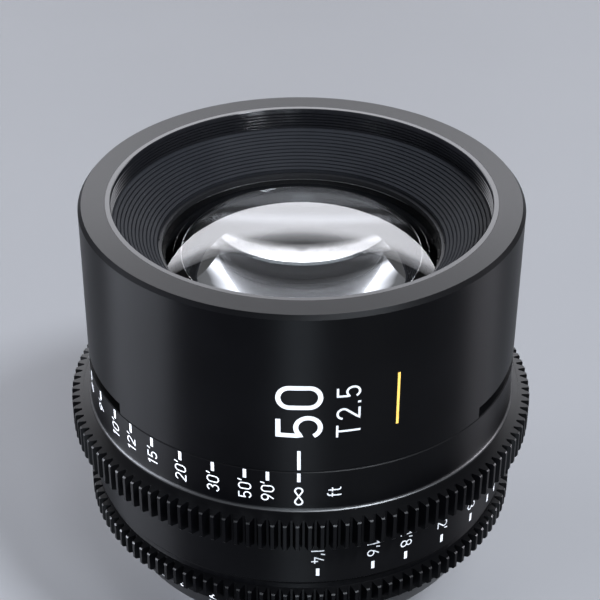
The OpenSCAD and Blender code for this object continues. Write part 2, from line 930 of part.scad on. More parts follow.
// Helical groove cutter: a band that climbs as it goes round, open towards the tube
module cam_groove() {
    over = 1;
    turn_step = focus_turn / groove_steps;
    rise_step = focus_travel / groove_steps;
    r_in = cam_in - cut;
    ends = groove_steps + 2 * over;
    section = [[r_in, -1], [groove_floor, -1], [groove_floor, 1], [r_in, 1]];
    points = [for (i = [0 : ends], k = section)
        let (a = -(i - over) * turn_step)
        [k[0] * cos(a), k[0] * sin(a), follower_z0 + (i - over) * rise_step + k[1] * groove_half]];
    sides = [for (i = [0 : ends - 1], k = [0 : 3], half = [0, 1])
        let (a = 4 * i + k, b = 4 * i + (k + 1) % 4)
        half == 0 ? [b, a, a + 4] : [b, a + 4, b + 4]];
    last = 4 * ends;
    polyhedron(points, concat(
        [[0, 1, 2], [0, 2, 3]], sides, [[last + 2, last + 1, last], [last + 3, last + 2, last]]));
}

module focus_cam_ring() {
    stop_half = pin_half_angle(stop_r, tube_r);
    color(brass)
    difference() {
        lathe([
            [bearing_seat_r, cam_low], [cam_out, cam_low], [cam_out, cam_top],
            [bearing_seat_r, cam_top],
            [bearing_seat_r, cam_top - bearing_h - 0.3], [cam_in, cam_top - bearing_h - 0.3],
            [cam_in, cam_low + bearing_h], [bearing_seat_r, cam_low + bearing_h]
        ]);
        around(follower_count)
            cam_groove();
        ring_sector(cam_in - 0.5, tube_r + stop_reach + slide, focus_stop_z - stop_r - slide,
                    focus_stop_z + stop_r + slide, focus_stop_a - focus_turn - stop_half,
                    focus_stop_a + stop_half);
        around(ring_screw_count, ring_screw_start)
            translate([ring_screw_r, 0, z_focus1 - head_sink])
                screw_hole(ring_screw_length);
    }
}

module focus_ring_screws() {
    color(steel)
    around(ring_screw_count, ring_screw_start)
        translate([ring_screw_r, 0, z_focus1 - head_sink])
            screw(ring_screw_length);
}

module focus_cell() {
    top = focus_cell_low + focus_cell_h;
    bore = focus_semi + fit;
    hub = bore + thread_step + focus_hub_wall;
    sleeve_in = focus_cell_r - focus_cell_wall;
    relief_r = focus_cell_r - focus_cell_relief;
    relief_slope = 0.5;
    low_land = focus_cell_land + 3;
    color(dark)
    difference() {
        lathe([
            [bore - focus_ledge, focus_cell_low], [hub, focus_cell_low],
            [hub, follower_z0 - web_t / 2], [sleeve_in, follower_z0 - web_t / 2],
            [sleeve_in, focus_cell_low], [focus_cell_r, focus_cell_low],
            [focus_cell_r, focus_cell_low + low_land],
            [relief_r, focus_cell_low + low_land + relief_slope],
            [relief_r, top - focus_cell_land], [focus_cell_r, top - focus_cell_land + relief_slope],
            [focus_cell_r, top], [sleeve_in, top], [sleeve_in, follower_z0 + web_t / 2],
            [hub, follower_z0 + web_t / 2], [hub, top], [bore + thread_step, top],
            [bore + thread_step, crown_top - thread_relief], [bore, crown_top - thread_relief],
            [bore, focus_cell_low + focus_ledge_t], [bore - focus_ledge, focus_cell_low + focus_ledge_t]
        ]);
        around(follower_count)
            radial_pin(follower_r + press, follower_root - slide, focus_cell_r + cut, follower_z0);
    }
}

module focus_element_front() {
    color(glass)
    glass_body(focus_semi, crown_zf + cut, crown_zr - cut, crown_zf, crown_zr, focus_rf, cement_r);
}

module focus_element_rear() {
    color(glass)
    glass_body(focus_semi, flint_zf + sag(cement_r, focus_semi), flint_low, flint_zf, flint_zr,
               -cement_r, -focus_rr);
}

module focus_retaining_ring() {
    seat = crown_top + glass_seat;
    color(black)
    ring(focus_semi - focus_ledge, focus_semi + thread_step, seat, seat + focus_ring_t);
}

module cam_followers() {
    color(steel)
    around(follower_count)
        radial_pin(follower_r, follower_root, follower_tip, follower_z0);
}

module iris_ring() {
    core_r = gear_root(iris_teeth) - gear_core + root_overlap;
    under = iris_gear_mid - iris_land / 2;
    stop_half = pin_half_angle(stop_r, tube_r);
    color(black)
    union() {
        difference() {
            lathe([
                [iris_in, z_iris0], [iris_low_r - fine_bevel, z_iris0],
                [iris_low_r, z_iris0 + fine_bevel], [iris_scale_r, under - iris_skirt],
                [iris_scale_r, under],
                [core_r, under], [core_r, z_iris1 - 2 * root_overlap],
                [core_r - 2 * root_overlap, z_iris1], [iris_in, z_iris1]
            ]);
            ring_sector(iris_in - cut, tube_r + stop_reach + slide, iris_stop_z - stop_r - slide,
                        iris_stop_z + stop_r + slide, iris_stop_a - iris_turn - stop_half,
                        iris_stop_a + stop_half);
            rotate([0, 0, key_a])
                radial_pin(key_r + fit, iris_in - cut, key_tip + slide, key_z);
        }
        gear_band(iris_teeth, iris_gear_mid, iris_land);
    }
}

// Where a drive pin lies in the drive ring's own frame when the ring has turned by t
function slot_point(t) =
    let (swing = drive_a0 + blade_swing * t / iris_turn)
    let (p = [pivot_r + drive_arm * cos(swing), drive_arm * sin(swing)])
    [p[0] * cos(t) + p[1] * sin(t), p[1] * cos(t) - p[0] * sin(t)];

// Edge of a slot, offset sideways from the path of the pin
function slot_edge(t, side) =
    let (d = slot_point(t + 0.5) - slot_point(t - 0.5))
    slot_point(t) + side * slot_half * [-d[1], d[0]] / norm(d);

module drive_slot() {
    over = 2;
    turn_step = (iris_turn + 2 * over) / slot_steps;
    turns = [for (i = [0 : slot_steps]) -over + i * turn_step];
    left = [for (t = turns) slot_edge(t, 1)];
    right = [for (i = [slot_steps : -1 : 0]) slot_edge(turns[i], -1)];
    translate([0, 0, drive_z - cut])
        linear_extrude(drive_web_t + 2 * cut)
            polygon(concat(left, right));
}

module iris_drive_ring() {
    color(steel)
    difference() {
        lathe([
            [drive_hole_r, drive_z], [drive_r, drive_z], [drive_r, drive_top],
            [drive_r - drive_rim_w, drive_top], [drive_r - drive_rim_w, drive_z + drive_web_t],
            [drive_hole_r, drive_z + drive_web_t]
        ]);
        around(blade_count)
            drive_slot();
        rotate([0, 0, key_a])
            radial_pin(key_r + fit, key_root - slide, drive_r + cut, key_z);
    }
}

module iris_drive_key() {
    color(steel)
    rotate([0, 0, key_a])
        radial_pin(key_r, key_root, key_tip, key_z);
}

module iris_blade(index) {
    z = blade_z0 + (index - 1) * blade_step;
    stem_from = blade_out - stem_overlap;
    drive_pin = [pivot_r + drive_arm * cos(drive_a0), drive_arm * sin(drive_a0)];
    color(black)
    rotate([0, 0, (index - 1) * 360 / blade_count])
    union() {
        ring_sector(iris_open_r, blade_out, z, z + blade_t, 0, blade_arc);
        translate([stem_from, 0, z])
            cube([pivot_r - stem_from, blade_boss_r, blade_t]);
        translate([pivot_r, 0, z])
            cylinder(r = blade_boss_r, h = blade_t);
        translate([pivot_r, 0, z])
            rotate([0, 0, drive_a0])
                translate([0, -tail_r, 0])
                    cube([drive_arm, 2 * tail_r, blade_t]);
        translate([drive_pin[0], drive_pin[1], z])
            cylinder(r = tail_r, h = blade_t);
        translate([pivot_r, 0, housing_z + pin_end])
            cylinder(r = pivot_pin_r, h = z + blade_t - housing_z - pin_end);
        translate([drive_pin[0], drive_pin[1], z])
            cylinder(r = drive_pin_r, h = drive_z + drive_web_t - pin_end - z);
    }
}

front_barrel();
filter_ring();
baffle_cone();
front_retaining_ring();
front_cell();
front_element();
second_element();
third_element();
front_spacer();
third_retaining_ring();
front_cell_screws();
front_barrel_screws();
main_tube();
focus_bearing_front();
focus_bearing_rear();
lock_ring();
focus_stop_pin();
iris_bearing();
iris_stop_pin();
iris_housing();
iris_retaining_ring();
rear_barrel();
rear_barrel_screws();
rear_cell();
rear_element_front();
rear_element_middle();
rear_element_back();
rear_spacer();
rear_front_retainer();
rear_retaining_ring();
mount_flange();
mount_shim();
mount_screws();
focus_ring();
focus_cam_ring();
focus_ring_screws();
focus_cell();
focus_element_front();
focus_element_rear();
focus_retaining_ring();
cam_followers();
iris_ring();
iris_drive_ring();
iris_drive_key();
iris_blade(1);  // iris_blade_1
iris_blade(2);  // iris_blade_2
iris_blade(3);  // iris_blade_3
iris_blade(4);  // iris_blade_4
iris_blade(5);  // iris_blade_5
iris_blade(6);  // iris_blade_6
iris_blade(7);  // iris_blade_7
iris_blade(8);  // iris_blade_8
iris_blade(9);  // iris_blade_9
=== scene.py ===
import json
import math

import bmesh
import bpy
from mathutils import Matrix, Vector


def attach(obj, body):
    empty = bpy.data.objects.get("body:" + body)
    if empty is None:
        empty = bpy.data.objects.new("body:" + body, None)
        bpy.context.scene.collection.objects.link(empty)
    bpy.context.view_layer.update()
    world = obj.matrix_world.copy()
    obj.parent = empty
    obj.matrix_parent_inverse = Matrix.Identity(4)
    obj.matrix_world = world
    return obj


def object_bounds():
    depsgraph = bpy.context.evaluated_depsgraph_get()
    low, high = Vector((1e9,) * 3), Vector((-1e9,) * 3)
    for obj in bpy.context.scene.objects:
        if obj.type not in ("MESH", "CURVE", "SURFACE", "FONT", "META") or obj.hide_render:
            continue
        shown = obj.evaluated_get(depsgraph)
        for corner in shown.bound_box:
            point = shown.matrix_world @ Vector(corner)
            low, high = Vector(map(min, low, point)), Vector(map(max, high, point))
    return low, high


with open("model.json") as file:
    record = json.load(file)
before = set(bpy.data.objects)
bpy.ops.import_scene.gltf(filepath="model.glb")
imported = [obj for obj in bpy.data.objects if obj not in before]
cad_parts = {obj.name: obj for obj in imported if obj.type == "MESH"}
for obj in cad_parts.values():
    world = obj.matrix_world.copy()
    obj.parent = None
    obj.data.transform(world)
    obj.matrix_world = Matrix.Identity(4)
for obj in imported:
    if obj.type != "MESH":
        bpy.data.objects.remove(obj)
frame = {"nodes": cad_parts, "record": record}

cad_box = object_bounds()
scene = bpy.context.scene
nodes = frame["nodes"]
MM = 0.001


# Camera, fitted to the edges of the rings and then turned a little round the axis

CAMERA_PLACE = Vector((0.0, -0.30101, 0.26213))
CAMERA_RIGHT = (0.99998, 0.00388, 0.00456)
CAMERA_UP = (-0.00594, 0.54386, 0.83915)
CAMERA_BACK = (0.00077, -0.83916, 0.54388)
CAMERA_TURN = math.radians(0.55)
CAMERA_LENS = 97.036
SENSOR_W = 36.0
CLIP_NEAR = 0.01
CLIP_FAR = 50.0


def make_camera():
    data = bpy.data.cameras.new("camera")
    data.sensor_width = SENSOR_W
    data.lens = CAMERA_LENS
    data.clip_start = CLIP_NEAR
    data.clip_end = CLIP_FAR
    camera = bpy.data.objects.new("camera", data)
    scene.collection.objects.link(camera)
    axes = Matrix((CAMERA_RIGHT, CAMERA_UP, CAMERA_BACK)).transposed().to_4x4()
    turn = Matrix.Rotation(CAMERA_TURN, 4, "Z")
    camera.matrix_world = turn @ Matrix.Translation(CAMERA_PLACE) @ axes
    scene.camera = camera


make_camera()


# Material helpers

NOISE_ROUGHNESS = 0.6


def rgb(r, g, b):
    return (r, g, b, 1.0)


def fill_ramp(node, stops):
    """Sets the stops of a colour ramp. A plain number is a grey."""
    elements = node.color_ramp.elements
    while len(elements) < len(stops):
        elements.new(0.5)
    for element, (place, value) in zip(elements, stops):
        element.position = place
        element.color = value if isinstance(value, tuple) else rgb(value, value, value)


class Shade:
    """A material with one Principled shader, and short ways to wire nodes into it."""

    def __init__(self, name):
        self.material = bpy.data.materials.new(name)
        self.material.use_nodes = True
        self.tree = self.material.node_tree
        self.bsdf = self.tree.nodes["Principled BSDF"]
        self.coords = self.add("ShaderNodeTexCoord").outputs["Object"]

    def add(self, kind, **values):
        node = self.tree.nodes.new(kind)
        for key, value in values.items():
            setattr(node, key, value)
        return node

    def link(self, source, target):
        self.tree.links.new(source, target)

    def set(self, **values):
        for key, value in values.items():
            name = key.replace("_", " ").title().replace("Ior", "IOR")
            self.bsdf.inputs[name].default_value = value

    def noise(self, scale, detail):
        node = self.add("ShaderNodeTexNoise")
        node.inputs["Scale"].default_value = scale
        node.inputs["Detail"].default_value = detail
        node.inputs["Roughness"].default_value = NOISE_ROUGHNESS
        self.link(self.coords, node.inputs["Vector"])
        return node.outputs["Fac"]

    def ramp(self, source, stops):
        node = self.add("ShaderNodeValToRGB")
        fill_ramp(node, stops)
        self.link(source, node.inputs["Fac"])
        return node.outputs["Color"]

    def math(self, operation, a, b=None):
        node = self.add("ShaderNodeMath", operation=operation)
        for socket, value in zip(node.inputs, (a, b)):
            if value is None:
                continue
            if isinstance(value, (int, float)):
                socket.default_value = value
            else:
                self.link(value, socket)
        return node.outputs["Value"]

    def split(self, vector):
        node = self.add("ShaderNodeSeparateXYZ")
        self.link(vector, node.inputs["Vector"])
        return node.outputs

    def radius(self):
        """Distance from the axis."""
        spot = self.split(self.coords)
        squares = [self.math("POWER", spot[axis], 2.0) for axis in "XY"]
        return self.math("SQRT", self.math("ADD", *squares))

    def height(self):
        return self.split(self.coords)["Z"]

    def upright(self):
        """How far a face looks along the axis: 0 on a wall, 1 on a flat end."""
        normal = self.add("ShaderNodeNewGeometry").outputs["True Normal"]
        return self.math("ABSOLUTE", self.split(normal)["Z"])

    def bump(self, source, depth):
        node = self.add("ShaderNodeBump")
        node.inputs["Distance"].default_value = depth
        self.link(source, node.inputs["Height"])
        self.link(node.outputs["Normal"], self.bsdf.inputs["Normal"])


# Materials

PROUD_R = 47.52 * MM


def anodised(name, low, high, rough, grain, shine=(0.2, 0.2, 0.2), lathed=0.0, burnished=0.0):
    """Black anodising. Shine is how strongly walls, bevels and flats reflect. Fine turning marks,
    where lathed, spread reflections across themselves. Burnished is what bevels outside the proud
    radius, such as the ends of the teeth, reflect beyond that."""
    s = Shade(name)
    s.set(metallic=0.0, ior=1.5, anisotropic_rotation=0.25)
    slope = s.upright()
    wall, bevel, flat = shine
    around = s.add("ShaderNodeTangent", direction_type="RADIAL", axis="Z")
    s.link(around.outputs["Tangent"], s.bsdf.inputs["Tangent"])
    s.link(s.ramp(slope, [(0.1, lathed), (0.3, 0.0), (0.9, 0.0), (0.99, lathed / 2)]),
           s.bsdf.inputs["Anisotropic"])
    face = s.ramp(slope, [(0.15, wall), (0.3, bevel), (0.9, bevel), (0.98, flat)])
    cut = s.ramp(slope, [(0.45, 0.0), (0.6, burnished), (0.8, burnished), (0.92, 0.0)])
    proud = s.math("GREATER_THAN", s.radius(), PROUD_R)
    s.link(s.math("ADD", face, s.math("MULTIPLY", cut, proud)), s.bsdf.inputs["Specular IOR Level"])
    fine = s.noise(scale=9000.0, detail=2.0)
    cloud = s.noise(scale=55.0, detail=4.0)
    s.link(s.ramp(cloud, [(0.3, low), (0.75, high)]), s.bsdf.inputs["Base Color"])
    s.link(s.ramp(fine, [(0.25, rough - 0.05), (0.8, rough + 0.05)]), s.bsdf.inputs["Roughness"])
    s.bump(fine, grain)
    return s.material


TURNING_LINES = 26000.0
TURNING_DEPTH = 2e-6


def turned(name, low, high, rough):
    """Bare metal with fine rings left by the lathe."""
    s = Shade(name)
    s.set(metallic=1.0)
    rings = s.add("ShaderNodeTexNoise", noise_dimensions="2D")
    rings.inputs["Scale"].default_value = 1.0
    rings.inputs["Detail"].default_value = 2.0
    spot = s.add("ShaderNodeCombineXYZ")
    s.link(s.math("MULTIPLY", s.radius(), TURNING_LINES), spot.inputs["X"])
    s.link(s.math("MULTIPLY", s.height(), TURNING_LINES), spot.inputs["Y"])
    s.link(spot.outputs["Vector"], rings.inputs["Vector"])
    lines = rings.outputs["Fac"]
    cloud = s.noise(scale=90.0, detail=4.0)
    s.link(s.ramp(cloud, [(0.3, low), (0.75, high)]), s.bsdf.inputs["Base Color"])
    s.link(s.ramp(lines, [(0.2, rough - 0.06), (0.8, rough + 0.08)]), s.bsdf.inputs["Roughness"])
    s.bump(lines, TURNING_DEPTH)
    return s.material


RIB_LOW = rgb(0.010, 0.0105, 0.0125)
RIB_HIGH = rgb(0.014, 0.0145, 0.0165)
RIB_GRAIN = 3e-6


def ribbed(name):
    """Matte black with a fine grain, for the ribs of the cone."""
    s = Shade(name)
    s.set(metallic=0.0, ior=1.5, specular_ior_level=0.05)
    grain = s.noise(scale=7000.0, detail=2.0)
    cloud = s.noise(scale=70.0, detail=3.0)
    s.link(s.ramp(cloud, [(0.3, RIB_LOW), (0.75, RIB_HIGH)]), s.bsdf.inputs["Base Color"])
    s.link(s.ramp(grain, [(0.25, 0.42), (0.8, 0.55)]), s.bsdf.inputs["Roughness"])
    s.bump(grain, RIB_GRAIN)
    return s.material


def polished_glass(name, ior):
    """Clear on the polished faces, frosted and pale on the ground edge."""
    s = Shade(name)
    s.set(metallic=0.0, ior=ior)
    polished = s.upright()
    s.link(s.ramp(polished, [(0.2, 0.0), (0.4, 1.0)]), s.bsdf.inputs["Transmission Weight"])
    s.link(s.ramp(polished, [(0.2, 0.7), (0.4, 0.0)]), s.bsdf.inputs["Roughness"])
    s.link(s.ramp(polished, [(0.2, 0.55), (0.4, 1.0)]), s.bsdf.inputs["Base Color"])
    return s.material


PAINT_GRAIN = 2e-6


def paint(name, low, high, rough):
    """The matte paint of the marks."""
    s = Shade(name)
    s.set(metallic=0.0, specular_ior_level=0.3)
    cloud = s.noise(scale=900.0, detail=4.0)
    fine = s.noise(scale=12000.0, detail=2.0)
    s.link(s.ramp(cloud, [(0.25, low), (0.75, high)]), s.bsdf.inputs["Base Color"])
    s.link(s.ramp(fine, [(0.3, rough - 0.06), (0.8, rough + 0.06)]), s.bsdf.inputs["Roughness"])
    s.bump(fine, PAINT_GRAIN)
    return s.material


MATERIALS = {
    "anodised_black": anodised("satin_black_anodising", rgb(0.0006, 0.0006, 0.0008),
                               rgb(0.0012, 0.0012, 0.0015), rough=0.36, grain=4e-6,
                               shine=(0.065, 0.09, 0.13), lathed=0.9, burnished=0.45),
    "thread_black": anodised("gloss_black_anodising", rgb(0.005, 0.005, 0.006),
                             rgb(0.008, 0.008, 0.009), rough=0.16, grain=1e-6),
    "baffle_black": ribbed("matte_black_ribs"),
    "inner_black": anodised("matte_black_inside", rgb(0.006, 0.006, 0.007),
                            rgb(0.010, 0.010, 0.011), rough=0.5, grain=3e-6, shine=(0.3, 0.3, 0.3)),
    "optical_glass": polished_glass("polished_glass", ior=1.52),
    "mount_steel": turned("turned_steel", rgb(0.50, 0.50, 0.51), rgb(0.60, 0.60, 0.61), rough=0.28),
    "pin_steel": turned("fine_steel", rgb(0.42, 0.42, 0.44), rgb(0.52, 0.52, 0.54), rough=0.3),
    "bearing_brass": turned("turned_brass", rgb(0.62, 0.45, 0.19), rgb(0.72, 0.54, 0.25), rough=0.3),
    "drive_aluminium": turned("turned_aluminium", rgb(0.56, 0.56, 0.58), rgb(0.66, 0.66, 0.68),
                              rough=0.32),
    "blade_black": anodised("blade_black", rgb(0.010, 0.010, 0.011), rgb(0.016, 0.016, 0.018),
                            rough=0.42, grain=2e-6),
}
MARK_WHITE = paint("mark_white", rgb(0.46, 0.46, 0.47), rgb(0.54, 0.54, 0.55), rough=0.5)
MARK_GOLD = paint("mark_gold", rgb(0.62, 0.36, 0.07), rgb(0.74, 0.46, 0.10), rough=0.4)

for part in frame["record"]["subparts"]:
    mesh = nodes[part["node"]].data
    mesh.materials.clear()
    mesh.materials.append(MATERIALS[part["material_slot"]])


# Figures drawn as strokes, one unit high, half a unit wide

HALF_W = 0.235
BOLD = 0.118
LOW = BOLD / 2
HIGH = 1 - BOLD / 2


def arc(cx, cy, rx, ry, start, end, steps=16):
    """Points on an ellipse from one angle to another, in degrees."""
    angles = [math.radians(start + (end - start) * i / steps) for i in range(steps + 1)]
    return [(cx + rx * math.cos(a), cy + ry * math.sin(a)) for a in angles]


def six():
    """One stroke: a slanting stem that runs into a round loop."""
    loop = arc(0, 0.30, HALF_W, 0.30 - LOW, 152, -208, 36)
    return [([(0.09, HIGH), (-0.155, 0.55)] + loop, False)]


def turned_over(strokes):
    return [([(-x, 1 - y) for x, y in points], closed) for points, closed in strokes]


ROUND_TOP = HIGH - HALF_W
FIGURES = {
    "0": [(arc(0, ROUND_TOP, HALF_W, HALF_W, 0, 180) + arc(0, 1 - ROUND_TOP, HALF_W, HALF_W, 180, 360),
           True)],
    "1": [([(-0.13, 0.76), (0.06, HIGH), (0.06, 0.0)], False)],
    "2": [(arc(0, ROUND_TOP, HALF_W, HALF_W, 172, -32, 22) + [(-HALF_W, LOW), (HALF_W + 0.04, LOW)],
           False)],
    "3": [(arc(0, 0.735, 0.205, HIGH - 0.735, 165, -90, 20)
           + arc(0, 0.295, HALF_W, 0.295 - LOW, 90, -165, 24)[1:], False)],
    "4": [([(0.03, HIGH), (-HALF_W, 0.27), (HALF_W + 0.06, 0.27)], False),
          ([(0.12, 0.52), (0.12, 0.0)], False)],
    "5": [([(0.20, HIGH), (-0.185, HIGH), (-0.20, 0.47)]
           + arc(0, 0.315, HALF_W, 0.315 - LOW, 132, -152, 26), False)],
    "6": six(),
    "7": [([(-HALF_W, HIGH), (HALF_W, HIGH), (-0.07, 0.0)], False)],
    "8": [(arc(0, 0.735, 0.205, HIGH - 0.735, 0, 360, 32)[:-1], True),
          (arc(0, 0.295, HALF_W, 0.295 - LOW, 0, 360, 32)[:-1], True)],
    "9": turned_over(six()),
    "'": [([(0.03, 1.02), (-0.04, 0.72)], False)],
    ".": [([(0.0, 0.0), (0.0, BOLD * 1.1)], False)],
    "f": [([(0.16, HIGH)] + arc(0.10, HIGH - 0.16, 0.13, 0.16, 90, 180, 8) + [(-0.03, 0.0)], False),
          ([(-0.16, 0.62), (0.15, 0.62)], False)],
    "T": [([(-0.29, HIGH), (0.29, HIGH)], False), ([(0.0, HIGH), (0.0, 0.0)], False)],
    "t": [([(-0.03, 0.90)] + arc(0.10, 0.16 + LOW, 0.13, 0.16, 180, 270, 8) + [(0.16, LOW)], False),
          ([(-0.16, 0.62), (0.15, 0.62)], False)],
}

# Room that a figure takes along the line, also in units of its height
ADVANCE = {"1": 0.50, "'": 0.24, ".": 0.34, "f": 0.44, "t": 0.44, "T": 0.98}
USUAL_ADVANCE = 0.72
MITRE_LIMIT = 0.35


def length_of(text, cap, stretch):
    return sum(ADVANCE.get(sign, USUAL_ADVANCE) for sign in text) * cap * stretch


def dense(points, closed, step):
    """The stroke's points with long stretches divided, so that it bends with the ring."""
    ends = points + points[:1] if closed else points
    result = []
    for a, b in zip(ends, ends[1:]):
        count = max(1, math.ceil(math.dist(a, b) / step))
        result += [tuple(a[k] + (b[k] - a[k]) * i / count for k in (0, 1)) for i in range(count)]
    return result if closed else result + [points[-1]]


def edges_of(points, closed, half):
    """Left and right edge of a stroke, with mitred corners."""
    count = len(points)
    left, right = [], []
    for i, p in enumerate(points):
        before = points[(i - 1) % count] if closed or i else None
        after = points[(i + 1) % count] if closed or i < count - 1 else None
        ways = []
        for a, b in ((before, p), (p, after)):
            if a is not None and b is not None:
                long = math.dist(a, b)
                ways.append((-(b[1] - a[1]) / long, (b[0] - a[0]) / long))
        nx = sum(w[0] for w in ways) / len(ways)
        ny = sum(w[1] for w in ways) / len(ways)
        reach = half / max(MITRE_LIMIT, nx * nx + ny * ny)
        left.append((p[0] + nx * reach, p[1] + ny * reach))
        right.append((p[0] - nx * reach, p[1] - ny * reach))
    return left, right


class Marks:
    """Painted marks on one ring, gathered in one mesh. Below the level, the ring gets narrower by
    the taper for each unit of height."""

    RAISED = 0.022 * MM
    SUNK = 0.03 * MM
    LINE_STEPS = 4
    LOOP_STEPS = 28
    STROKE_STEP = 0.09

    def __init__(self, radius, taper=0.0, level=0.0):
        self.radius = radius * MM
        self.taper = taper
        self.level = level * MM
        self.mesh = bmesh.new()

    def point(self, across, along, lift):
        """Across is measured round the ring from -Y towards +X, along is the height."""
        angle = across / self.radius
        r = self.radius + min(0.0, along - self.level) * self.taper + lift
        return (r * math.sin(angle), -r * math.cos(angle), along)

    def ribbon(self, left, right, closed, place):
        rows = []
        for a, b in zip(left, right):
            corners = [(a, self.RAISED), (b, self.RAISED), (b, -self.SUNK), (a, -self.SUNK)]
            rows.append([self.mesh.verts.new(self.point(*place(p), lift)) for p, lift in corners])
        pairs = list(zip(rows, rows[1:] + rows[:1])) if closed else list(zip(rows, rows[1:]))
        for one, two in pairs:
            for k in range(4):
                j = (k + 1) % 4
                self.mesh.faces.new((one[k], one[j], two[j], two[k]))
        if not closed:
            self.mesh.faces.new(rows[0][::-1])
            self.mesh.faces.new(rows[-1])

    def line(self, angle, low, high, width):
        """A straight mark along the height, at an angle in degrees."""
        middle = math.radians(angle) * self.radius
        half = width * MM / 2
        shares = [i / self.LINE_STEPS for i in range(self.LINE_STEPS + 1)]
        heights = [(low + (high - low) * share) * MM for share in shares]
        left = [(middle - half, z) for z in heights]
        right = [(middle + half, z) for z in heights]
        self.ribbon(left, right, False, lambda p: p)

    def words(self, text, angle, start, cap, upward, stretch, bold):
        """Figures one after another along the height, upward or downward from the start."""
        middle = math.radians(angle) * self.radius
        way = 1.0 if upward else -1.0
        x = 0.0
        for sign in text:
            step = ADVANCE.get(sign, USUAL_ADVANCE) * stretch
            centre = x + step / 2
            for points, closed in FIGURES[sign]:
                path = dense([(px * stretch, py) for px, py in points], closed, self.STROKE_STEP)
                left, right = edges_of(path, closed, bold / 2)

                def place(p):
                    along = (centre + p[0]) * cap * MM
                    across = (p[1] - 0.5) * cap * MM
                    return middle - way * across, start * MM + way * along

                self.ribbon(left, right, closed, place)
            x += step

    def infinity(self, angle, low, high, width, stroke):
        """The sign for far away, lying along the height."""
        middle = math.radians(angle) * self.radius
        centre = (low + high) / 2 * MM
        loop = (width - stroke) / 2 * MM
        apart = (high - low - stroke) / 2 * MM - loop
        cross = math.degrees(math.asin(loop / apart))
        path = arc(0, apart, loop, loop, -cross, 180 + cross, self.LOOP_STEPS)
        path += arc(0, -apart, loop, loop, cross, -180 - cross, self.LOOP_STEPS)
        left, right = edges_of(dense(path, True, loop / 4), True, stroke * MM / 2)
        self.ribbon(left, right, True, lambda p: (middle + p[0], centre + p[1]))

    def finish(self, name, material, body):
        bmesh.ops.recalc_face_normals(self.mesh, faces=self.mesh.faces)
        data = bpy.data.meshes.new(name)
        self.mesh.to_mesh(data)
        self.mesh.free()
        data.materials.append(material)
        piece = bpy.data.objects.new(name, data)
        scene.collection.objects.link(piece)
        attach(piece, body)


# Distances: text and its angle on the upper scale, the lower one is half a turn on
DISTANCES = [
    ("90'", -7.66), ("50'", -13.39), ("30'", -21.73), ("20'", -30.95), ("15'", -40.10),
    ("12'", -48.21), ("10'", -55.65), ("9'", -64.75), ("8'", -74.50), ("7'", -82.5), ("6'", -91.0),
    ("5'", -99.5), ("4'", -107.5), ("3'", -113.5), ("2'6", -118.5), ("2'3", -127.9), ("2'", -139.7),
    ("1'8", -151.4), ("1'6", -160.7), ("1'4", -175.1),
]
SCALE_R = 47.5
SCALE_SHIFT = 0.22
SCALE_CAP = 2.85
SCALE_STRETCH = 1.1
SCALE_BOLD = 0.092
TICK_W = 0.70
FAR_W = 1.85
FAR_STROKE = 0.34
UNIT_ANGLE = 8.7
UNIT_CAP = 3.0
UNIT_STRETCH = 1.05

# Heights on the two scales: ticks, where the figures end, the far sign and where the unit starts
UPPER_SCALE = {
    "turn": SCALE_SHIFT, "upward": True,
    "tick": (54.1, 56.3), "figures": 53.87, "far": (48.0, 52.7), "unit": 49.8,
}
LOWER_SCALE = {
    "turn": SCALE_SHIFT + 180.0, "upward": False,
    "tick": (28.75, 30.75), "figures": 31.95, "far": (32.8, 37.5), "unit": 35.8,
}
SCALES = (UPPER_SCALE, LOWER_SCALE)

focus_marks = Marks(SCALE_R)
for scale in SCALES:
    turn = scale["turn"]
    upward = scale["upward"]
    for text, angle in DISTANCES:
        focus_marks.line(angle + turn, *scale["tick"], TICK_W)
        length = length_of(text, SCALE_CAP, SCALE_STRETCH)
        begin = scale["figures"] - length if upward else scale["figures"] + length
        focus_marks.words(text, angle + turn, begin, SCALE_CAP, upward, SCALE_STRETCH, SCALE_BOLD)
    focus_marks.line(turn, *scale["tick"], TICK_W)
    focus_marks.infinity(turn, *scale["far"], FAR_W, FAR_STROKE)
    focus_marks.words("ft", UNIT_ANGLE + turn, scale["unit"], UNIT_CAP, upward, UNIT_STRETCH, SCALE_BOLD)
focus_marks.finish("focus_scale_marks", MARK_WHITE, "focus_unit")

INDEX_SPAN = (57.2, 62.0)
barrel_marks = Marks(SCALE_R)
for scale in SCALES:
    barrel_marks.line(scale["turn"], *INDEX_SPAN, TICK_W)
barrel_marks.words("50", SCALE_SHIFT, start=64.25, cap=9.5, upward=True, stretch=1.055, bold=0.105)
barrel_marks.words("T2.5", angle=12.0, start=64.1, cap=5.0, upward=True, stretch=0.99, bold=0.09)
barrel_marks.finish("barrel_marks", MARK_WHITE, "fixed_barrel")

gold_line = Marks(SCALE_R)
gold_line.line(angle=24.5, low=66.0, high=78.5, width=0.55)
gold_line.finish("barrel_gold_line", MARK_GOLD, "fixed_barrel")

